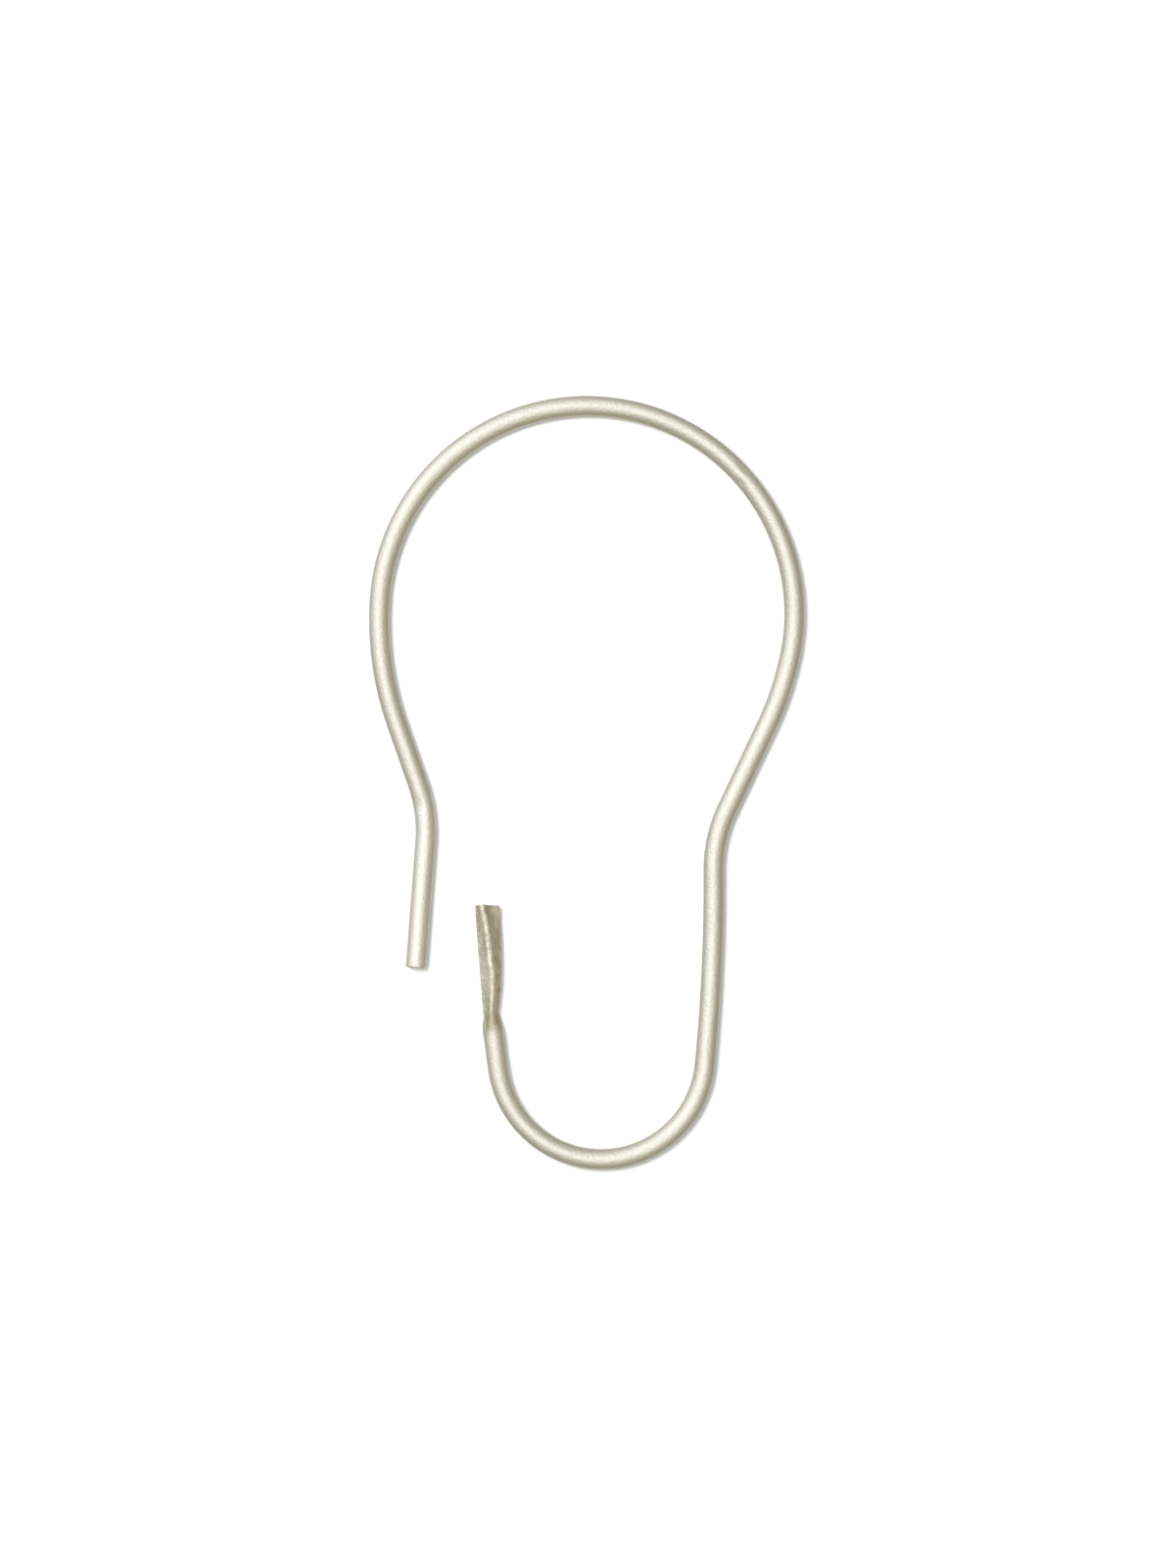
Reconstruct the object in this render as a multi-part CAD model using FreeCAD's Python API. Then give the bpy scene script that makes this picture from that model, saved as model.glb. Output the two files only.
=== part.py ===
import FreeCAD, Part
import math
import os
from collections import namedtuple

# Wire curtain hook: one length of round wire, bent flat into a pear-shaped loop above a small open hook.
# Millimetres and degrees. X runs across the hook, Y from the front to the back and Z up.
# The origin is the centre of the crown, the arc that hangs on the curtain rod.
# Radii and lengths are those of the wire's centreline. Each arm is bent outward from the crown.

# Wire
WIRE_DIAMETER = 2.0
TAIL_EDGE_ROUND = 0.2       # worn edge round the cut end of the tail

# Crown and flanks
CROWN_RADIUS = 20.45
CROWN_SWEEP_LEFT = 86.7     # from the top of the crown to the left flank
CROWN_SWEEP_RIGHT = 101.8   # from the top of the crown to the right flank
FLANK_RADIUS = 31.0         # both sides of the loop, where it narrows

# Left arm, which ends in the straight tail
LEFT_FLANK_TURN = 22.6
LEFT_SHOULDER_LENGTH = 6.21
KINK_RADIUS = 14.3
KINK_TURN = 23.7
TAIL_LENGTH = 12.4

# Right arm, which ends in the small hook and the catch
RIGHT_FLANK_TURN = 13.6
RIGHT_SHOULDER_LENGTH = 8.99
ELBOW_RADIUS = 13.8
ELBOW_TURN = 25.8
LEG_BOW_RADIUS = 183.9      # the leg is almost straight
LEG_BOW_TURN = 6.0
SEAT_RADIUS = 10.25         # the rounded bottom, which carries the curtain's eyelet
SEAT_TURN = 166.6
RISER_LENGTH = 3.8

# Catch: the end of the wire, pressed flat and folded to a channel that opens to the back
NECK_RISE = 1.95            # from the last round section to the neck
CATCH_TURN = 4.8            # the catch stands this much more upright than the riser
CATCH_LENGTH = 10.6         # from the neck to the top of the ridge
CATCH_OVERRUN = 0.8         # pressed length that is sheared off
TIP_SLOPE_ANGLE = 10.0      # the sheared end is longest at the ridge
RIDGE_RADIUS = 0.38         # outside of the fold
RIDGE_PROUD = 0.35          # the ridge stands this far in front of the wire
BLADE_THICKNESS = 0.5
GROOVE_START = 0.7          # the groove runs out this far above the neck
GROOVE_REACH = 2 * WIRE_DIAMETER    # sides of the groove's cutter, long enough to pass the lips
SHEAR_SIZE = 4 * WIRE_DIAMETER      # block that takes off the end, wider than the blade

# The pressed section at four heights: how far its lips stand to the left and the right of the
# catch's middle line, how far its ridge lies to the right of that line, and how deep each lip
# lies behind the wire's middle plane
NECK_LEFT = 0.77
NECK_LEFT_DEPTH = -0.15
NECK_RIDGE = 0.12
NECK_RIGHT = 0.86
NECK_RIGHT_DEPTH = 0.25
THROAT_HEIGHT = 2.1
THROAT_LEFT = 0.84
THROAT_LEFT_DEPTH = -0.48
THROAT_RIDGE = 0.27
THROAT_RIGHT = 1.20
THROAT_RIGHT_DEPTH = -0.10
WAIST_HEIGHT = 6.0
WAIST_LEFT = 0.94
WAIST_LEFT_DEPTH = -0.45
WAIST_RIDGE = 0.30
WAIST_RIGHT = 1.48
WAIST_RIGHT_DEPTH = -0.05
TIP_LEFT = 0.99
TIP_LEFT_DEPTH = -0.92
TIP_RIDGE = -0.40
TIP_RIGHT = 1.66
TIP_RIGHT_DEPTH = 0.20

Station = namedtuple("Station", "height left left_depth ridge right right_depth")
NECK = Station(0, NECK_LEFT, NECK_LEFT_DEPTH, NECK_RIDGE, NECK_RIGHT, NECK_RIGHT_DEPTH)
THROAT = Station(THROAT_HEIGHT, THROAT_LEFT, THROAT_LEFT_DEPTH, THROAT_RIDGE, THROAT_RIGHT,
                 THROAT_RIGHT_DEPTH)
WAIST = Station(WAIST_HEIGHT, WAIST_LEFT, WAIST_LEFT_DEPTH, WAIST_RIDGE, WAIST_RIGHT, WAIST_RIGHT_DEPTH)
TIP = Station(CATCH_LENGTH + CATCH_OVERRUN, TIP_LEFT, TIP_LEFT_DEPTH, TIP_RIDGE, TIP_RIGHT, TIP_RIGHT_DEPTH)
FOLD_DEPTH = RIDGE_RADIUS - RIDGE_PROUD - WIRE_DIAMETER / 2     # middle of the fold's arc

# Splits of the round section that meet the lips and the ends of the fold, from +X towards the back
ROUND_LIP_LEFT = 172.0
ROUND_FOLD_LEFT = 225.0
ROUND_FOLD_RIGHT = 315.0
ROUND_LIP_RIGHT = 372.0
FULL_TURN = 360.0
BACKWARD = FreeCAD.Vector(0, 1, 0)


def direction(heading):
    """Unit vector in the XZ plane, the heading counted from +X towards +Z."""
    angle = math.radians(heading)
    return FreeCAD.Vector(math.cos(angle), 0, math.sin(angle))


def straight(start, heading, length):
    """One straight run: its edge, its end and the heading there."""
    end = start + direction(heading) * length
    return Part.makeLine(start, end), end, heading


def bend(start, heading, radius, turn):
    """One bend, to the left for a positive turn: its edge, its end and the heading there."""
    side = math.copysign(90, turn)
    centre = start + direction(heading + side) * radius
    middle = centre - direction(heading + side + turn / 2) * radius
    end = centre - direction(heading + side + turn) * radius
    return Part.Arc(start, middle, end).toShape(), end, heading + turn


def arm(start, heading, runs):
    """Edges of an arm, its end and its last heading. A run is one length, or a radius and a turn."""
    edges = []
    for run in runs:
        step = bend if len(run) == 2 else straight
        edge, start, heading = step(start, heading, *run)
        edges.append(edge)
    return edges, start, heading


def polar(radius, angle):
    """A point of a section's plane: across, and in depth."""
    return radius * math.cos(math.radians(angle)), radius * math.sin(math.radians(angle))


def placed(origin, across, x, y):
    return origin + across * x + BACKWARD * y


def round_section(origin, across):
    """The wire's circle, split where the pressed section has its lips and its fold."""
    splits = (ROUND_LIP_LEFT, ROUND_FOLD_LEFT, ROUND_FOLD_RIGHT, ROUND_LIP_RIGHT, ROUND_LIP_LEFT + FULL_TURN)

    def rim(angle):
        return placed(origin, across, *polar(WIRE_DIAMETER / 2, angle))

    edges = []
    for first, last in zip(splits, splits[1:]):
        arc = Part.Arc(rim(first), rim((first + last) / 2), rim(last))
        edges.append(arc.toShape())
    return Part.Wire(edges)


def leg_angles(station):
    """Directions that the two legs face: each leg is a tangent from its lip to the fold."""
    def facing(lip_x, lip_depth, side):
        away_x = lip_x - station.ridge
        away_y = lip_depth - FOLD_DEPTH
        spread = math.acos(RIDGE_RADIUS / math.hypot(away_x, away_y))
        return math.degrees(math.atan2(away_y, away_x) + side * spread)

    left = facing(-station.left, station.left_depth, 1)
    right = facing(station.right, station.right_depth, -1)
    return left - FULL_TURN, right


def fold_section(station, origin, across):
    """Outside of the blade: left leg, fold, right leg and the line across the mouth."""
    left, right = leg_angles(station)

    def fold_point(angle):
        x, y = polar(RIDGE_RADIUS, angle)
        return placed(origin, across, station.ridge + x, FOLD_DEPTH + y)

    left_lip = placed(origin, across, -station.left, station.left_depth)
    right_lip = placed(origin, across, station.right, station.right_depth)
    return Part.Wire([
        Part.makeLine(left_lip, fold_point(left)),
        Part.Arc(fold_point(left), fold_point((left + right) / 2), fold_point(right)).toShape(),
        Part.makeLine(fold_point(right), right_lip),
        Part.makeLine(right_lip, left_lip),
    ])


def groove_section(station, origin, across, shift=0):
    """Triangle whose two long sides lie one thickness behind the legs; the shift moves it to the back."""
    left, right = leg_angles(station)
    set_back = (BLADE_THICKNESS - RIDGE_RADIUS) / math.cos(math.radians((right - left) / 2))
    apex_x, apex_y = polar(-set_back, (left + right) / 2)
    left_x, left_y = polar(GROOVE_REACH, left - 90)
    right_x, right_y = polar(GROOVE_REACH, right + 90)
    apex = placed(origin, across, station.ridge + apex_x, FOLD_DEPTH + apex_y + shift)
    left_end = placed(apex, across, left_x, left_y)
    right_end = placed(apex, across, right_x, right_y)
    return Part.makePolygon([apex, right_end, left_end, apex])


def catch(base, heading):
    """The pressed end of the wire, from the end of the riser up."""
    lean = heading - 90 - CATCH_TURN
    up = direction(90 + lean)
    across = direction(lean)
    neck = base + direction(heading) * NECK_RISE
    stations = (THROAT, WAIST, TIP)

    def outside(station):
        return fold_section(station, neck + up * station.height, across)

    taper = Part.makeLoft([round_section(base, direction(heading - 90)), outside(NECK)], True, True)
    blade = Part.makeLoft([outside(NECK)] + [outside(s) for s in stations], True)
    run_out = groove_section(NECK, neck + up * GROOVE_START, across, WIRE_DIAMETER)
    hollows = [groove_section(s, neck + up * s.height, across) for s in stations]
    groove = Part.makeLoft([run_out] + hollows, True, True)
    corner = FreeCAD.Vector(-SHEAR_SIZE / 2, -SHEAR_SIZE / 2, 0)
    shear = Part.makeBox(SHEAR_SIZE, SHEAR_SIZE, SHEAR_SIZE, corner)
    shear.rotate(FreeCAD.Vector(), FreeCAD.Vector(1, 0, 0), -TIP_SLOPE_ANGLE)
    shear.rotate(FreeCAD.Vector(), FreeCAD.Vector(0, -1, 0), lean)
    shear.translate(neck + up * CATCH_LENGTH - BACKWARD * (WIRE_DIAMETER / 2 + RIDGE_PROUD))
    return taper.fuse(blade).cut(groove).cut(shear)


def hook():
    """The bent wire with its catch, as one solid."""
    top = FreeCAD.Vector(0, 0, CROWN_RADIUS)
    left_crown, left_start, left_heading = bend(top, 180, CROWN_RADIUS, CROWN_SWEEP_LEFT)
    right_crown, right_start, right_heading = bend(top, 0, CROWN_RADIUS, -CROWN_SWEEP_RIGHT)
    left_runs = ((FLANK_RADIUS, LEFT_FLANK_TURN), (LEFT_SHOULDER_LENGTH,), (KINK_RADIUS, -KINK_TURN),
                 (TAIL_LENGTH,))
    right_runs = ((FLANK_RADIUS, -RIGHT_FLANK_TURN), (RIGHT_SHOULDER_LENGTH,), (ELBOW_RADIUS, ELBOW_TURN),
                  (LEG_BOW_RADIUS, -LEG_BOW_TURN), (SEAT_RADIUS, -SEAT_TURN), (RISER_LENGTH,))
    left_edges, tail_end, tail_heading = arm(left_start, left_heading, left_runs)
    right_edges, riser_end, riser_heading = arm(right_start, right_heading, right_runs)
    path = Part.Wire(left_edges[::-1] + [left_crown, right_crown] + right_edges)
    circle = Part.Wire(Part.makeCircle(WIRE_DIAMETER / 2, tail_end, direction(tail_heading)))
    wire = path.makePipeShell([circle], True, False)
    tail_rim = min(wire.Edges, key=lambda edge: edge.CenterOfMass.distanceToPoint(tail_end))
    wire = wire.makeFillet(TAIL_EDGE_ROUND, [tail_rim])
    return wire.fuse(catch(riser_end, riser_heading % 360)).removeSplitter()


os.makedirs("parts", exist_ok=True)
shape = hook()
solid = shape.Solids[0] if len(shape.Solids) == 1 else shape
solid.exportStep("parts/wire_hook.step")
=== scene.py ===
import bpy
import math
import numpy as np
from collections import namedtuple
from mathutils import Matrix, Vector, noise


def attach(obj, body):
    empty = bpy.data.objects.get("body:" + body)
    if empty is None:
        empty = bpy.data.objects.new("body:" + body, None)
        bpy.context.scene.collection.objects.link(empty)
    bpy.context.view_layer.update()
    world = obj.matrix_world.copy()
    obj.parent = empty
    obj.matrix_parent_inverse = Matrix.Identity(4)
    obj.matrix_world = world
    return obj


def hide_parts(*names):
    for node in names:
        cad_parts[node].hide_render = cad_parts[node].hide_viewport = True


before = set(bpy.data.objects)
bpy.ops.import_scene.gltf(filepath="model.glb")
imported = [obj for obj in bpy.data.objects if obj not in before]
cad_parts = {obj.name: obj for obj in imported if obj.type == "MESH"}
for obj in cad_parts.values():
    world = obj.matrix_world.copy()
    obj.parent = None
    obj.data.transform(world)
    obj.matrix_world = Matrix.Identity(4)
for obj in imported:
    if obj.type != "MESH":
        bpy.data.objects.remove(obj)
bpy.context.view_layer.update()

MM = 0.001

# The bent wire, in millimetres and degrees on its centreline, as the solid has it
WIRE_RADIUS = 1.0
TAIL_EDGE_ROUND = 0.2           # worn edge round the cut end of the tail
CROWN_RADIUS = 20.45
CROWN_SWEEP_LEFT = 86.7
CROWN_SWEEP_RIGHT = 101.8
FLANK_RADIUS = 31.0
LEFT_FLANK_TURN = 22.6
LEFT_SHOULDER_LENGTH = 6.21
KINK_RADIUS = 14.3
KINK_TURN = 23.7
TAIL_LENGTH = 12.4
RIGHT_FLANK_TURN = 13.6
RIGHT_SHOULDER_LENGTH = 8.99
ELBOW_RADIUS = 13.8
ELBOW_TURN = 25.8
LEG_BOW_RADIUS = 183.9
LEG_BOW_TURN = 6.0
SEAT_RADIUS = 10.25
SEAT_TURN = 166.6
RISER_LENGTH = 3.8

# Both arms from the top of the crown: a straight run is a length, and a bend is a radius and a turn
LEFT_ARM = (
    (CROWN_RADIUS, CROWN_SWEEP_LEFT),
    (FLANK_RADIUS, LEFT_FLANK_TURN),
    (LEFT_SHOULDER_LENGTH,),
    (KINK_RADIUS, -KINK_TURN),
    (TAIL_LENGTH,),
)
RIGHT_ARM = (
    (CROWN_RADIUS, -CROWN_SWEEP_RIGHT),
    (FLANK_RADIUS, -RIGHT_FLANK_TURN),
    (RIGHT_SHOULDER_LENGTH,),
    (ELBOW_RADIUS, ELBOW_TURN),
    (LEG_BOW_RADIUS, -LEG_BOW_TURN),
    (SEAT_RADIUS, -SEAT_TURN),
    (RISER_LENGTH,),
)

# The catch: squeeze of the round wire up to the neck, then the folded blade, in heights above the neck
NECK_RISE = 1.95                # from the last round ring to the neck
CATCH_TURN = 4.8                # the catch stands this much more upright than the riser
CATCH_LENGTH = 10.6             # from the neck to the top of the ridge
TIP_HEIGHT = 11.4               # where the tip's section stands, above the sheared end
TIP_SLOPE = 10.0                # the sheared end is longest at the ridge
SLOPE_RUN = 2.5                 # the last rings tilt to that slope over this height
RIDGE_RADIUS = 0.45
RIDGE_PROUD = 0.35              # the ridge stands this far in front of the wire
NECK_RIDGE_RADIUS = 0.26        # at the neck the ridge is sharper and lower, up to the height given
NECK_RIDGE_PROUD = 0.22
NECK_RIDGE_HEIGHT = 3.0
BLADE_THICKNESS = 0.5
GROOVE_RUN_OUT = (1.4, 2.3)     # the groove deepens between these heights
GROOVE_ROUND = 0.3              # length of each leg that the round bottom of the groove takes,
GROOVE_ROUND_SHARE = 0.6        # and the largest share of a short leg
SQUEEZE_EASE = 0.4              # softness of the two ends of the squeeze
LIP_PASSES = 2                  # rounding of the lips
STATIONS = {                    # height: left lip and its depth, ridge, right lip and its depth
    0.0: (0.77, -0.28, 0.12, 0.86, 0.25),
    2.1: (0.84, -0.48, 0.27, 1.20, -0.10),
    6.0: (0.94, -0.45, 0.30, 1.48, -0.05),
    TIP_HEIGHT: (0.99, -0.92, -0.40, 1.66, 0.20),
}

# Marks of the press on the catch
RIDGE_JOG = (0.05, 4.6, 0.35)   # the ridge steps aside: half the step, its height and its length
UNEVEN = 0.022                  # depth of the uneven faces
UNEVEN_LENGTH = 0.85
LEFT_HOLLOW = 0.03              # how far each leg of the fold is hollow outside
RIGHT_HOLLOW = 0.08
NECK_HOLLOW = (0.05, 0.3, 1.2)  # more on the left at the neck: depth, height and half length
TIP_HOLLOW = (0.08, 5.0, 10.6)  # more on the right towards the tip: depth, and from and to which height
CURL_ACROSS = (0.4, 1.6)        # the right corner of the tip curls to the front between these places
CURL_HEIGHT = (8.6, 10.8)
CURL_REACH = 0.3

# Dents: height on the catch or distance along the wire, across, half length, half width and depth
PRESS_DENTS = (
    (-1.15, -0.8, 0.95, 0.38, 0.21),
    (7.45, -0.05, 0.12, 0.22, 0.06),
)
BEND_DENTS = (
    (16.1, -0.42, 0.8, 0.42, 0.1),
    (84.5, -0.55, 0.7, 0.35, 0.09),
    (85.5, 0.55, 0.5, 0.3, 0.08),
)
DENT_FADE = 0.5                 # dents fade in over this depth in front of the wire's middle

# Rings of the skin: their spacing and their points, from the left lip round the front
RING_STEP = 0.3                 # spacing along the wire
CATCH_STEP = 0.1                # spacing along the catch
SPREAD_LENGTH = 4.0             # over this length of the riser the points move to suit the fold
TAIL_EDGE_RINGS = 6
TAIL_EDGE_TURN = 80.0           # the last of them lies at this angle of the worn edge
CUT_FACE_RINGS = (0.85, 0.6, 0.3)
LEG_POINTS = 16                 # points of a ring on each leg of the fold
FOLD_POINTS = 24                # on the fold itself
LIP_POINTS = 4                  # on each lip
OUTSIDE_POINTS = 2 * LEG_POINTS + FOLD_POINTS
RING = 2 * (OUTSIDE_POINTS + LIP_POINTS)
SPAN_POINTS = (LEG_POINTS, FOLD_POINTS, LEG_POINTS, LIP_POINTS) * 2
# Where these spans begin and end on the round wire, in degrees from +X towards the back
ROUND_SPLITS = (172, 225, 315, 372, 382, 427, 477, 522, 532)
TINY = 1e-9                     # keeps a direction finite where points of a ring fall together

# Finish: least roughness, two tones of the metal and height of the grain, in millimetres
Finish = namedtuple("Finish", "satin pale deep relief")
WIRE_FINISH = Finish(0.2, (0.835, 0.79, 0.705, 1), (0.745, 0.705, 0.62, 1), 0.01)
CUT_FINISH = Finish(0.3, (0.76, 0.72, 0.635, 1), (0.65, 0.61, 0.53, 1), 0.02)
PRESSED_FROM = -2.5                     # the drawn wire turns to pressed metal between these heights
PRESSED_TO = -0.9
CUT_PRESSED = (-2.0, -1.0)              # distances before the tail: cut metal counts as pressed all over
PRESSED_PALE = (1.09, 1.07, 1.02, 1)    # tints of the pressed metal, in patches
PRESSED_DEEP = (0.80, 0.78, 0.72, 1)
SCUFF_AND_SHADE_TINT = (0.82, 0.8, 0.7, 1)        # the squeezed neck is yellower metal, and painted darker as shade of the pinch,
SCUFF_AND_SHADE_LENGTH = 1.3                      # and this changes back over this length above it
RIDGE_COLOUR = (0.82, 0.78, 0.58, 1)    # the rubbed ridge shows yellower metal
RIDGE_RUBBED = 0.4                      # from this share of its height in front of the wire
PAST_KINK_SHADE = (0.92, 0.92, 0.90, 1)           # painted shade: past the kink the wire is a little darker than its tail, standing in for light that falls brighter on the tail; the change lies here, slanting across the wire, and so paints a break in the highlight at the kink
KINK_SHADE_AT = 16.4                          # the change lies here, slanting across the wire
KINK_SHADE_SLANT = 0.8
KINK_SHADE_SOFT = 0.5

# Noise of the plating: waves to a millimetre across and along the wire, and detail
SPECKLES = {
    "lines": (9.0, 0.05, 2.0),          # fine lines along the wire, from the drawing die
    "streaks": (2.4, 0.16, 2.0),        # broader, fainter streaks
    "grain": (11.0, 11.0, 3.0),         # grain of the plating
    "mottle": (0.9, 0.45, 3.0),         # slow changes of tone
    "dents": (2.6, 2.6, 2.0),           # unevenness of the pressed blade
    "patches": (2.2, 1.3, 3.0),         # patches of the pressed blade
    "pits": (4.5, 4.5, 2.0),            # small pits of the plating
}
SPECKLE_FALL = 0.55                     # how much finer detail counts
TONE_SHARES = {"mottle": 0.55, "streaks": 0.45}
ROUGHNESS_SHARES = {"streaks": 0.16, "grain": 0.12, "pressed": 0.1, "scuffed_and_shaded": 0.2}
RELIEF_SHARES = {"lines": 0.35, "grain": 0.5, "pits": 6.0, "dents": 4.5}
PATCH_RANGE = (0.35, 0.65)
PIT_RANGE = (0.5, 0.66)                 # patches are pale outside the pits,
PIT_PALE = 0.15                         # and this pale in them

# Light, with bearings and heights in degrees; the lamp is in metres and watts
KEY_WAY = (-22.3, 16.3)         # bearing and height of the broad light
KEY_LEVEL = 1.23
KEY_FOCUS = 2.4                 # the higher, the smaller the light
KEY_SLANT = 46.0                # the light is narrower along this slant of the picture
KEY_NARROW = 1.3                # and this much so
KEY_TINT = (1.0, 1.03, 1.105, 1)
ROOM_LEVEL = 0.416
COOL_HEIGHT = 40.0              # the room is cooler towards this height on the left, and warmer opposite
COOL_TINT = (1.05, 1.095, 1.02, 1)
WARM_TINT = (0.98, 0.925, 0.745, 1)
ROOM_BACK = 1.0                 # level behind the hook, so that the metal's rims show the white ground
BACK_FROM = 0.6                 # how far a direction points to the back where the room grows paler
BACK_TO = 1.0
LAMP_WAY = (-15, 10)            # the lamp only makes the ground white and gives the hook its shadow
LAMP_DISTANCE = 0.6
LAMP_SIZE = 0.17
LAMP_POWER = 3.2
WHITE = (1, 1, 1, 1)

# Stage, in metres but for the gap
GROUND_GAP = 0.06               # the white ground lies this far behind the wire, in millimetres
GROUND_FADE = (0.7, 0.85)       # it fades out between these slants of the view, 0 square on and 1 edge-on
GROUND_COLOUR = (0.67, 0.67, 0.67, 1)
GROUND_GLOW = 0.02
FLOOR_LEVEL = -0.1
FLOOR_COLOUR = (0.72, 0.72, 0.72, 1)
FLOOR_ROUGHNESS = 0.9
REACH = 1.5

# The photograph: scale at the hook, place of the crown's centre and size of the picture, in pixels
MM_PER_PIXEL = 0.0965
CROWN_PIXEL = (599.27, 626.48)
PICTURE = (1200, 1601)
CAMERA_DISTANCE = 0.5           # in metres
CAMERA_NEAR = 0.01
SENSOR = 36.0                   # in millimetres


def direction(heading):
    """Unit vectors in the XZ plane, one row each; the heading is counted from +X towards +Z."""
    angle = np.radians(np.atleast_1d(np.asarray(heading, float)))
    return np.stack([np.cos(angle), np.zeros_like(angle), np.sin(angle)], 1)


def walk(start, heading, runs):
    """Points and headings along straight runs (a length) and bends (a radius and a turn)."""
    points, headings = [np.array([start], float)], [np.array([heading], float)]
    for run in runs:
        here, facing = points[-1][-1], headings[-1][-1]
        length = run[0] if len(run) == 1 else run[0] * math.radians(abs(run[1]))
        along = np.linspace(0, 1, max(2, round(length / RING_STEP)) + 1)[1:]
        if len(run) == 1:
            points.append(here + direction(facing) * (along * length)[:, None])
            headings.append(np.full(len(along), facing))
        else:
            side = math.copysign(90, run[1])
            centre = here + direction(facing + side)[0] * run[0]
            points.append(centre - direction(facing + side + along * run[1]) * run[0])
            headings.append(facing + along * run[1])
    return np.concatenate(points), np.concatenate(headings)


def smooth(low, high, value):
    """0 below low, 1 above high and a soft step between."""
    t = np.clip((value - low) / (high - low), 0, 1)
    return t * t * (3 - 2 * t)


def spread(first, last, count):
    """Evenly spaced rows from first towards last, without last."""
    share = np.arange(count)[:, None] / count
    return np.asarray(first) * (1 - share) + np.asarray(last) * share


def soften(outline, passes):
    """Breaks the sharp corners of a ring."""
    for _ in range(passes):
        outline = (np.roll(outline, 1, 0) + 2 * outline + np.roll(outline, -1, 0)) / 4
    return outline


def round_outline(share):
    """The wire's circle, its points shared out evenly at 0 and as the fold needs at 1."""
    even = ROUND_SPLITS[0] + 360 * np.arange(RING) / RING
    folded = np.concatenate([
        np.linspace(first, last, count, endpoint=False)
        for first, last, count in zip(ROUND_SPLITS, ROUND_SPLITS[1:], SPAN_POINTS)])
    angle = np.radians(even * (1 - share) + folded * share)
    return WIRE_RADIUS * np.stack([np.cos(angle), np.sin(angle)], 1)


def station_at(height):
    """Left lip and its depth, ridge, right lip and its depth of the pressed section at a height."""
    heights = list(STATIONS)
    columns = np.array(list(STATIONS.values())).T
    return [np.polyval(np.polyfit(heights, column, len(heights) - 1), height) for column in columns]


def blade_outline(height):
    """Ring of the folded blade, across and in depth: outside, right lip, groove and left lip."""
    left, left_depth, ridge, right, right_depth = station_at(height)
    jog, jog_height, jog_length = RIDGE_JOG
    risen = smooth(0.0, NECK_RIDGE_HEIGHT, height)
    radius = NECK_RIDGE_RADIUS + (RIDGE_RADIUS - NECK_RIDGE_RADIUS) * risen
    proud = NECK_RIDGE_PROUD + (RIDGE_PROUD - NECK_RIDGE_PROUD) * risen
    ridge -= jog * math.tanh((height - jog_height) / jog_length)
    fold = np.array([ridge, radius - proud - WIRE_RADIUS])
    left_lip, right_lip = np.array([-left, left_depth]), np.array([right, right_depth])

    def leg(lip, side):
        """The direction that a leg faces, as an angle and a vector, and its run towards the lip."""
        away = lip - fold
        angle = math.atan2(away[1], away[0]) + side * math.acos(radius / np.hypot(*away))
        outward = np.array([math.cos(angle), math.sin(angle)])
        run = lip - fold - outward * radius
        return angle, outward, run / np.hypot(*run)

    left_angle, left_out, left_run = leg(left_lip, 1)
    right_angle, right_out, right_run = leg(right_lip, -1)
    turn = np.linspace(left_angle, right_angle + 2 * math.pi, FOLD_POINTS + 1)[:-1]
    outside = [spread(left_lip, fold + left_out * radius, LEG_POINTS),
               fold + radius * np.stack([np.cos(turn), np.sin(turn)], 1),
               spread(fold + right_out * radius, right_lip, LEG_POINTS)]

    # The groove's sides lie one thickness behind the legs, and end at the line across the mouth
    apex = fold + (left_out + right_out) * (radius - BLADE_THICKNESS) / (1 + left_out @ right_out)
    mouth = left_lip - right_lip
    back = np.array([mouth[1], -mouth[0]])
    right_rise, left_rise = [((right_lip - apex) @ back) / (run @ back) for run in (right_run, left_run)]
    bottom = min(GROOVE_ROUND, GROOVE_ROUND_SHARE * right_rise, GROOVE_ROUND_SHARE * left_rise)
    right_bottom, left_bottom = apex + right_run * bottom, apex + left_run * bottom
    bow = np.arange(FOLD_POINTS)[:, None] / FOLD_POINTS
    groove = np.concatenate([
        spread(apex + right_run * right_rise, right_bottom, LEG_POINTS),
        right_bottom * (1 - bow) ** 2 + 2 * apex * bow * (1 - bow) + left_bottom * bow ** 2,
        spread(left_bottom, apex + left_run * left_rise, LEG_POINTS)])
    short = ((right_lip - groove) @ back) / (back @ back)
    groove += np.outer(short * (1 - smooth(*GROOVE_RUN_OUT, height)), back)
    lips = spread(right_lip, groove[0], LIP_POINTS), spread(groove[-1], left_lip, LIP_POINTS)
    return np.concatenate(outside + [lips[0], groove, lips[1]])


def dent_depth(outline, at, dents):
    """How deep the dents are at each point of a ring; they lie on its front only."""
    depth = np.zeros(len(outline))
    for place, across, half_length, half_width, deepest in dents:
        away = ((outline[:, 0] - across) / half_width) ** 2 + ((at - place) / half_length) ** 2
        depth += deepest * np.exp(-away)
    return depth * smooth(0.0, DENT_FADE, -outline[:, 1])


def bent(outline, at):
    """A ring of the round wire with the marks of the bending tool."""
    return outline * (1 - dent_depth(outline, at, BEND_DENTS)[:, None] / WIRE_RADIUS)


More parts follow.
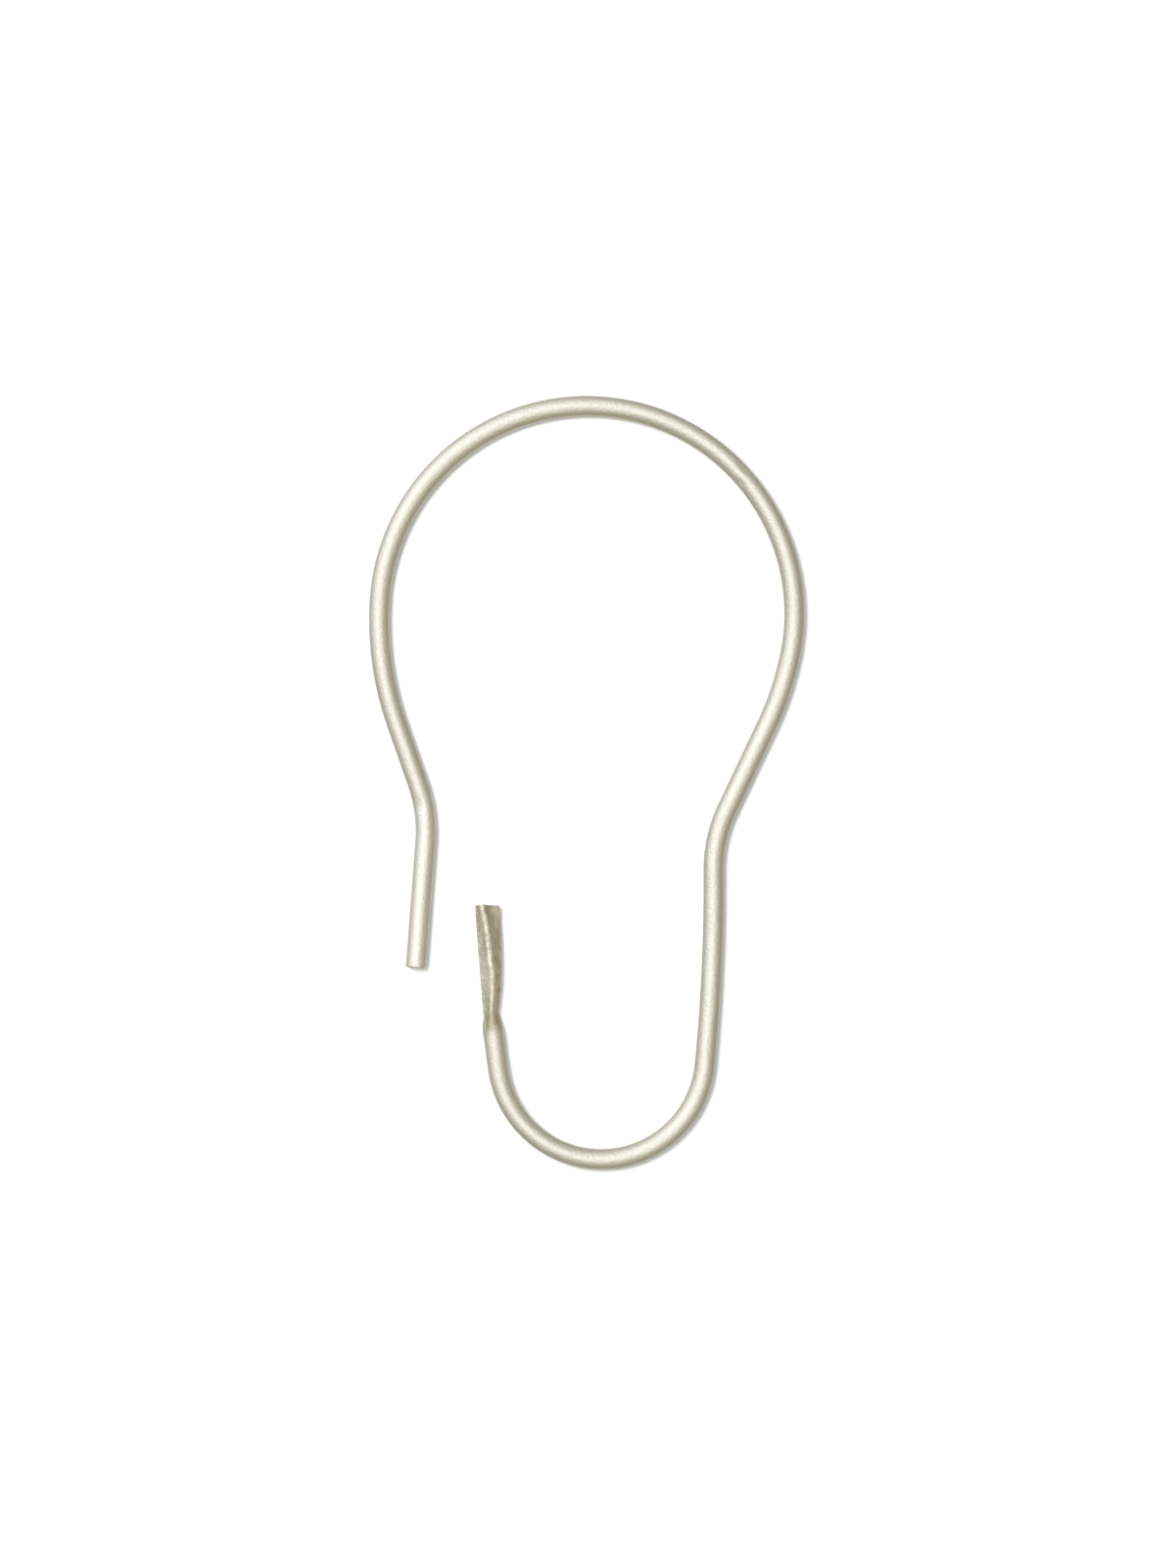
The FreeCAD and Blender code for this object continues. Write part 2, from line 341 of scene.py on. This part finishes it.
def wrought(outline, height):
    """A ring with the marks of the press: hollow legs, uneven faces, dents and the tip's curled corner."""
    tangent = np.roll(outline, -1, 0) - np.roll(outline, 1, 0)
    outward = np.stack([tangent[:, 1], -tangent[:, 0]], 1)
    outward /= np.maximum(np.hypot(*outward.T), TINY)[:, None]
    reach = smooth(-NECK_RISE, 0.0, height)
    at_neck, neck_height, neck_length = NECK_HOLLOW
    at_tip, tip_from, tip_to = TIP_HOLLOW
    left = reach * LEFT_HOLLOW + at_neck * math.exp(-((height - neck_height) / neck_length) ** 2)
    right = reach * RIGHT_HOLLOW + at_tip * smooth(tip_from, tip_to, height)
    leg = np.arange(LEG_POINTS) / LEG_POINTS
    bow = 4 * leg * (1 - leg)       # 0 at both ends of a leg and 1 at its middle
    depth = dent_depth(outline, height, PRESS_DENTS)
    depth[:LEG_POINTS] += left * bow
    depth[OUTSIDE_POINTS - LEG_POINTS:OUTSIDE_POINTS] += right * bow
    for i in range(OUTSIDE_POINTS):
        place = Vector((outline[i, 0], outline[i, 1], height)) / UNEVEN_LENGTH
        depth[i] += reach * UNEVEN * (1 + noise.noise(place))
    marked = outline - outward * depth[:, None]
    curl = smooth(*CURL_ACROSS, outline[:, 0]) * smooth(*CURL_HEIGHT, height)
    marked[:, 1] -= CURL_REACH * curl
    return marked


class Rings:
    """Rings of points along the wire, with the place of each point on the wire before it was bent."""

    def __init__(self):
        self.points = []
        self.drawn = []

    def add(self, origin, across, up, outline, along, lift=0.0):
        """One ring round its origin; the lift moves its points along the wire."""
        lift = np.broadcast_to(lift, len(outline))
        self.points.append(origin + np.outer(outline[:, 0], across) + np.outer(outline[:, 1], (0, 1, 0))
                           + np.outer(lift, up))
        self.drawn.append(np.column_stack([outline, np.full(len(outline), along) + lift]))


def wire_rings():
    """All rings from the cut end of the tail to the sheared end of the catch."""
    top = (0, 0, CROWN_RADIUS)
    left, left_heading = walk(top, 180, LEFT_ARM)
    right, right_heading = walk(top, 0, RIGHT_ARM)
    centre = np.concatenate([left[::-1], right[1:]])
    heading = np.concatenate([left_heading[::-1] + 180, right_heading[1:] + 360])
    along = np.concatenate([[0], np.cumsum(np.linalg.norm(np.diff(centre, axis=0), axis=1))])
    rings = Rings()

    # Worn edge of the tail's cut end
    up = direction(heading[0])[0]
    across = direction(heading[0] - 90)[0]
    for turn in np.radians(np.linspace(0, TAIL_EDGE_TURN, TAIL_EDGE_RINGS)):
        shrink = 1 - TAIL_EDGE_ROUND * (1 - math.sin(turn)) / WIRE_RADIUS
        lift = TAIL_EDGE_ROUND * (1 - math.cos(turn))
        rings.add(centre[0] + up * lift, across, up, round_outline(0) * shrink, lift)

    # Round wire; near the catch the press has marked it too
    spread_out = smooth(along[-1] - SPREAD_LENGTH, along[-1], along)
    for here, facing, at, share in zip(centre, heading, along, spread_out):
        outline = bent(round_outline(share), at)
        if share > 0:
            outline = wrought(outline, at - along[-1] - NECK_RISE)
        if at > TAIL_EDGE_ROUND:
            rings.add(here, direction(facing - 90)[0], direction(facing)[0], outline, at)

    # Squeeze of the round wire up to the neck
    rise = direction(heading[-1])[0]
    riser_across = direction(heading[-1] - 90)[0]
    lean = heading[-1] - 90 - CATCH_TURN
    upright, catch_across = direction(90 + lean)[0], direction(lean)[0]
    neck_outline = soften(blade_outline(0.0), LIP_PASSES)
    base, at = centre[-1], along[-1]
    for step in np.linspace(0, NECK_RISE, round(NECK_RISE / CATCH_STEP) + 1)[1:-1]:
        share = step / NECK_RISE
        across = riser_across * (1 - share) + catch_across * share
        squeeze = share * (1 - SQUEEZE_EASE) + smooth(0, 1, share) * SQUEEZE_EASE
        outline = round_outline(1) * (1 - squeeze) + neck_outline * squeeze
        rings.add(base + rise * step, across, rise, wrought(outline, step - NECK_RISE), at + step)

    # Folded blade, its last rings tilting to the slope of the sheared end
    neck = base + rise * NECK_RISE
    at += NECK_RISE
    for height in np.linspace(0, CATCH_LENGTH, round(CATCH_LENGTH / CATCH_STEP) + 1):
        outline = wrought(soften(blade_outline(height), LIP_PASSES), height)
        tilt = smooth(CATCH_LENGTH - SLOPE_RUN, CATCH_LENGTH, height) * math.tan(math.radians(TIP_SLOPE))
        lift = -tilt * (outline[:, 1] + WIRE_RADIUS + RIDGE_PROUD)
        rings.add(neck + upright * height, catch_across, upright, outline, at + height, lift)
    return np.array(rings.points), np.array(rings.drawn)


def strip(first, second):
    """Four-cornered faces between two rows with the same number of points."""
    return np.stack([first[:-1], first[1:], second[1:], second[:-1]], 1).tolist()


def closed(ring):
    """A ring's row of points with its first point again at the end."""
    return np.append(ring, ring[0])


def hook_mesh():
    """One closed skin round the wire: rings, the tail's cut face and the catch's sheared face."""
    points, drawn = wire_rings()
    total = len(points) * RING
    grid = np.arange(total).reshape(-1, RING)
    faces = []
    for near, far in zip(grid[:-1], grid[1:]):
        faces += strip(closed(near), closed(far))
    sides = len(faces)

    # Cut face of the tail: smaller rings to its middle
    vertices, places = [points.reshape(-1, 3)], [drawn.reshape(-1, 3)]
    middle, middle_place = points[0].mean(0), drawn[0].mean(0)
    last = closed(grid[0])
    for share in CUT_FACE_RINGS:
        vertices.append(middle + (points[0] - middle) * share)
        places.append(middle_place + (drawn[0] - middle_place) * share)
        ring = closed(np.arange(total, total + RING))
        faces += strip(ring, last)
        last, total = ring, total + RING
    vertices.append(middle[None])
    places.append(middle_place[None])
    faces += [(after, before, total) for before, after in zip(last[:-1].tolist(), last[1:].tolist())]

    # Sheared face of the catch: a strip from lip to lip between the outside and the groove
    rim = closed(grid[-1])
    groove = OUTSIDE_POINTS + LIP_POINTS
    left_lip = groove + OUTSIDE_POINTS
    faces += strip(rim[:OUTSIDE_POINTS + 1], rim[groove:left_lip + 1][::-1])
    faces += [rim[OUTSIDE_POINTS:groove + 1].tolist(), rim[left_lip:].tolist()]

    mesh = bpy.data.meshes.new("bent_wire")
    mesh.from_pydata((np.concatenate(vertices) * MM).tolist(), [], faces)
    mesh.attributes.new("drawn_wire", "FLOAT_VECTOR", "POINT").data.foreach_set(
        "vector", np.concatenate(places).astype(np.float32).ravel())
    mesh.polygons.foreach_set("use_smooth", np.ones(len(faces), bool))
    mesh.polygons.foreach_set("material_index", (np.arange(len(faces)) >= sides).astype(np.int32))
    mesh.validate()
    mesh.update()
    return mesh


def add(tree, kind, inputs=(), **settings):
    """A node with its settings; an input is a value, or a socket to link."""
    node = tree.nodes.new(kind)
    for name, value in settings.items():
        setattr(node, name, value)
    for name, value in dict(inputs).items():
        if isinstance(value, bpy.types.NodeSocket):
            tree.links.new(value, node.inputs[name])
        else:
            node.inputs[name].default_value = value
    return node


def math_node(tree, operation, first, second):
    """Sum, product or the like of two sockets or values."""
    return add(tree, "ShaderNodeMath", {0: first, 1: second}, operation=operation).outputs[0]


def dot(tree, first, second):
    """How far two directions agree."""
    return add(tree, "ShaderNodeVectorMath", {0: first, 1: second}, operation="DOT_PRODUCT").outputs["Value"]


def ramp(tree, value, low, high, start=0.0, end=1.0, step="SMOOTHSTEP"):
    """Start below low, end above high and a step between."""
    return add(tree, "ShaderNodeMapRange", {
        "Value": value, "From Min": low, "From Max": high, "To Min": start, "To Max": end},
        interpolation_type=step).outputs[0]


def tint(tree, share, first, second, how="MIX"):
    """The first colour mixed with the second, or multiplied by it, by the share."""
    return add(tree, "ShaderNodeMix", {0: share, 6: first, 7: second}, data_type="RGBA",
               blend_type=how).outputs[2]


def weigh(tree, effects, shares):
    """Sum of the named effects, each times its share."""
    parts = [math_node(tree, "MULTIPLY", effects[name], share) for name, share in shares.items()]
    total = parts[0]
    for part in parts[1:]:
        total = math_node(tree, "ADD", total, part)
    return total


def plated_grain():
    """Drawing lines, plating grain and slow changes of tone, by the place of a point on the unbent wire."""
    group = bpy.data.node_groups.new("plated_grain", "ShaderNodeTree")
    group.interface.new_socket("Drawn", in_out="INPUT", socket_type="NodeSocketVector")
    for name in ("Pressed", "Scuffed", "Satin"):
        group.interface.new_socket(name, in_out="INPUT", socket_type="NodeSocketFloat")
    for name in ("Tone", "Patches", "Roughness", "Height"):
        group.interface.new_socket(name, in_out="OUTPUT", socket_type="NodeSocketFloat")
    given = add(group, "NodeGroupInput").outputs
    result = add(group, "NodeGroupOutput").inputs

    effects = {"pressed": given["Pressed"], "scuffed_and_shaded": given["Scuffed"]}
    for name, (across, along, detail) in SPECKLES.items():
        place = add(group, "ShaderNodeVectorMath", {0: given["Drawn"], 1: (across, across, along)},
                    operation="MULTIPLY").outputs[0]
        effects[name] = add(group, "ShaderNodeTexNoise", {
            "Vector": place, "Scale": 1.0, "Detail": detail, "Roughness": SPECKLE_FALL}).outputs[0]
    effects["dents"] = math_node(group, "MULTIPLY", effects["dents"], given["Pressed"])

    patches = ramp(group, effects["patches"], *PATCH_RANGE)
    whole = ramp(group, effects["pits"], *PIT_RANGE, 1.0, PIT_PALE)
    group.links.new(math_node(group, "MULTIPLY", patches, whole), result["Patches"])
    group.links.new(weigh(group, effects, TONE_SHARES), result["Tone"])
    rougher = weigh(group, effects, ROUGHNESS_SHARES)
    group.links.new(math_node(group, "ADD", given["Satin"], rougher), result["Roughness"])
    group.links.new(weigh(group, effects, RELIEF_SHARES), result["Height"])
    return group


def new_material(name):
    """A material without nodes, and its node tree."""
    material = bpy.data.materials.new(name)
    material.use_nodes = True
    material.node_tree.nodes.clear()
    return material, material.node_tree


def nickel(name, grain, finish, pressed_from, pressed_to):
    """Plated wire: satin metal whose tone, roughness and relief come from the grain, with painted shade past
    the kink and at the neck.
    """
    material, tree = new_material(name)
    drawn = add(tree, "ShaderNodeAttribute", attribute_name="drawn_wire",
                attribute_type="GEOMETRY").outputs["Vector"]
    place = add(tree, "ShaderNodeSeparateXYZ", {0: drawn}).outputs
    across, depth, along = place["X"], place["Y"], place["Z"]
    pressed = ramp(tree, along, pressed_from, pressed_to)
    scuffed_and_shaded = math_node(tree, "MULTIPLY", pressed,
                        ramp(tree, along, pressed_to, pressed_to + SCUFF_AND_SHADE_LENGTH, 1.0, 0.0))
    plated = add(tree, "ShaderNodeGroup", node_tree=grain)
    for socket, value in (("Drawn", drawn), ("Pressed", pressed), ("Scuffed", scuffed_and_shaded)):
        tree.links.new(value, plated.inputs[socket])
    plated.inputs["Satin"].default_value = finish.satin
    patches = plated.outputs["Patches"]

    colour = tint(tree, plated.outputs["Tone"], finish.deep, finish.pale)
    # Painted light: past the kink the wire is painted darker than its tail, and the slanted edge paints the
    # highlight's break at the kink
    slanted = math_node(tree, "SUBTRACT", along, math_node(tree, "MULTIPLY", across, KINK_SHADE_SLANT))
    past_kink_shade = ramp(tree, slanted, KINK_SHADE_AT - KINK_SHADE_SOFT, KINK_SHADE_AT + KINK_SHADE_SOFT)
    colour = tint(tree, past_kink_shade, colour, PAST_KINK_SHADE, "MULTIPLY")
    colour = tint(tree, pressed, colour, tint(tree, patches, PRESSED_DEEP, PRESSED_PALE), "MULTIPLY")
    # Painted shade: the squeezed neck is darkened where the pinch lies in shade; its yellower tint and its
    # roughness are the metal's own
    colour = tint(tree, scuffed_and_shaded, colour, SCUFF_AND_SHADE_TINT, "MULTIPLY")
    proud = ramp(tree, depth, -WIRE_RADIUS - RIDGE_RUBBED * RIDGE_PROUD, -WIRE_RADIUS - RIDGE_PROUD)
    clean = math_node(tree, "MULTIPLY", proud, math_node(tree, "SUBTRACT", 1.0, scuffed_and_shaded))
    colour = tint(tree, math_node(tree, "MULTIPLY", clean, patches), colour, RIDGE_COLOUR)

    bump = add(tree, "ShaderNodeBump", {
        "Height": plated.outputs["Height"], "Strength": 1.0, "Distance": finish.relief * MM})
    metal = add(tree, "ShaderNodeBsdfPrincipled", {
        "Base Color": colour, "Metallic": 1.0, "Roughness": plated.outputs["Roughness"],
        "Normal": bump.outputs[0]})
    add(tree, "ShaderNodeOutputMaterial", {"Surface": metal.outputs[0]})
    return material


def white_ground():
    """White ground behind the hook: it shows to the camera from its front only, and keeps the hook's shadow.

    It fades out where the camera looks along it, so that no line of it is left.
    """
    material, tree = new_material("white_ground")
    seen = add(tree, "ShaderNodeLightPath").outputs["Is Camera Ray"]
    front = math_node(tree, "SUBTRACT", 1.0, add(tree, "ShaderNodeNewGeometry").outputs["Backfacing"])
    slant = add(tree, "ShaderNodeLayerWeight").outputs["Facing"]
    square = ramp(tree, slant, *GROUND_FADE, 1.0, 0.0, "LINEAR")
    shown = math_node(tree, "MULTIPLY", math_node(tree, "MULTIPLY", seen, front), square)
    white = add(tree, "ShaderNodeBsdfDiffuse", {"Color": GROUND_COLOUR})
    glow = add(tree, "ShaderNodeEmission", {"Color": WHITE, "Strength": GROUND_GLOW})
    lit = add(tree, "ShaderNodeAddShader", {0: white.outputs[0], 1: glow.outputs[0]})
    clear = add(tree, "ShaderNodeBsdfTransparent")
    mix = add(tree, "ShaderNodeMixShader", {0: shown, 1: clear.outputs[0], 2: lit.outputs[0]})
    add(tree, "ShaderNodeOutputMaterial", {"Surface": mix.outputs[0]})
    return material


def pale_floor():
    """Dull pale floor below the hook."""
    material, tree = new_material("pale_floor")
    dull = add(tree, "ShaderNodeBsdfPrincipled", {"Base Color": FLOOR_COLOUR, "Roughness": FLOOR_ROUGHNESS})
    add(tree, "ShaderNodeOutputMaterial", {"Surface": dull.outputs[0]})
    return material


def plate(name, corners, material):
    """A flat four-cornered sheet of the stage."""
    mesh = bpy.data.meshes.new(name)
    mesh.from_pydata(corners, [], [(0, 1, 2, 3)])
    mesh.materials.append(material)
    sheet = bpy.data.objects.new(name, mesh)
    bpy.context.collection.objects.link(sheet)
    return sheet


def unit(bearing, height):
    """A direction, its bearing counted from the camera's side towards +X."""
    a, e = math.radians(bearing), math.radians(height)
    return Vector((math.sin(a) * math.cos(e), -math.cos(a) * math.cos(e), math.sin(e)))


def studio_world():
    """Room with one broad soft light, paler behind the hook and white to the camera."""
    world = bpy.data.worlds.new("studio")
    bpy.context.scene.world = world
    world.use_nodes = True
    tree = world.node_tree
    tree.nodes.clear()
    way = add(tree, "ShaderNodeTexCoord").outputs["Generated"]

    # The broad light, drawn out along a slant of the picture
    key = unit(*KEY_WAY)
    nearness = ramp(tree, dot(tree, way, key), -1.0, 1.0, step="LINEAR")
    narrow = Vector(direction(KEY_SLANT)[0])
    aside = math_node(tree, "SUBTRACT", dot(tree, way, narrow), key.dot(narrow))
    fall = math_node(tree, "MULTIPLY", math_node(tree, "MULTIPLY", aside, aside), -KEY_NARROW)
    lobe = math_node(tree, "MULTIPLY", math_node(tree, "POWER", nearness, KEY_FOCUS),
                     math_node(tree, "POWER", math.e, fall))

    depth = add(tree, "ShaderNodeSeparateXYZ", {0: way}).outputs["Y"]
    behind = ramp(tree, depth, BACK_FROM, BACK_TO, 0.0, ROOM_BACK - ROOM_LEVEL)
    level = math_node(tree, "ADD", math_node(tree, "MULTIPLY", lobe, KEY_LEVEL), ROOM_LEVEL)
    level = math_node(tree, "ADD", level, behind)
    cool_way = Vector(direction(180 - COOL_HEIGHT)[0])
    cool = ramp(tree, dot(tree, way, cool_way), -1.0, 1.0, step="LINEAR")
    colour = tint(tree, lobe, tint(tree, cool, WARM_TINT, COOL_TINT), KEY_TINT)

    room = add(tree, "ShaderNodeBackground", {"Color": colour, "Strength": level})
    white = add(tree, "ShaderNodeBackground", {"Color": WHITE, "Strength": 1.0})
    seen = add(tree, "ShaderNodeLightPath").outputs["Is Camera Ray"]
    mix = add(tree, "ShaderNodeMixShader", {0: seen, 1: room.outputs[0], 2: white.outputs[0]})
    add(tree, "ShaderNodeOutputWorld", {"Surface": mix.outputs[0]})


def front_lamp(aim):
    """Round lamp that lights the ground; the metal shows the room's soft light instead."""
    data = bpy.data.lights.new("front_lamp", "AREA")
    data.shape = "DISK"
    data.size = LAMP_SIZE
    data.energy = LAMP_POWER
    lamp = bpy.data.objects.new("front_lamp", data)
    bpy.context.collection.objects.link(lamp)
    away = unit(*LAMP_WAY)
    lamp.location = aim + away * LAMP_DISTANCE
    lamp.rotation_euler = away.to_track_quat("Z", "Y").to_euler()
    lamp.visible_glossy = False


def front_camera(aim):
    """Camera that looks straight at the hook, at the photograph's scale."""
    camera = bpy.data.objects.new("camera", bpy.data.cameras.new("camera"))
    bpy.context.collection.objects.link(camera)
    camera.data.sensor_width = SENSOR
    camera.data.lens = SENSOR * CAMERA_DISTANCE / (PICTURE[1] * MM_PER_PIXEL * MM)
    camera.data.clip_start = CAMERA_NEAR
    camera.location = aim - Vector((0, CAMERA_DISTANCE, 0))
    camera.rotation_euler = (math.radians(90), 0, 0)
    bpy.context.scene.camera = camera


# The hook
hook = bpy.data.objects.new("bent_wire_hook", hook_mesh())
bpy.context.collection.objects.link(hook)
# The catch is the last stretch of the wire
wire_length = float(max(point.vector[2] for point in hook.data.attributes["drawn_wire"].data))
neck_at = wire_length - CATCH_LENGTH
grain = plated_grain()
hook.data.materials.append(nickel("satin_nickel_wire", grain, WIRE_FINISH,
                                  neck_at + PRESSED_FROM, neck_at + PRESSED_TO))
hook.data.materials.append(nickel("sheared_nickel_end", grain, CUT_FINISH, *CUT_PRESSED))
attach(hook, "root")
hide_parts("wire_hook")

# The stage
ground_at = (WIRE_RADIUS + GROUND_GAP) * MM
plate("white_ground", [(-REACH, ground_at, FLOOR_LEVEL), (REACH, ground_at, FLOOR_LEVEL),
                       (REACH, ground_at, REACH), (-REACH, ground_at, REACH)], white_ground())
floor = plate("pale_floor", [(-REACH, -REACH, FLOOR_LEVEL), (REACH, -REACH, FLOOR_LEVEL),
                             (REACH, REACH, FLOOR_LEVEL), (-REACH, REACH, FLOOR_LEVEL)], pale_floor())
floor.visible_glossy = False    # the metal shows the soft light all round
studio_world()
middle = Vector(((PICTURE[0] / 2 - CROWN_PIXEL[0]) * MM_PER_PIXEL * MM, 0,
                 (CROWN_PIXEL[1] - PICTURE[1] / 2) * MM_PER_PIXEL * MM))
front_lamp(middle)
front_camera(middle)
bpy.context.scene.view_settings.view_transform = "Standard"
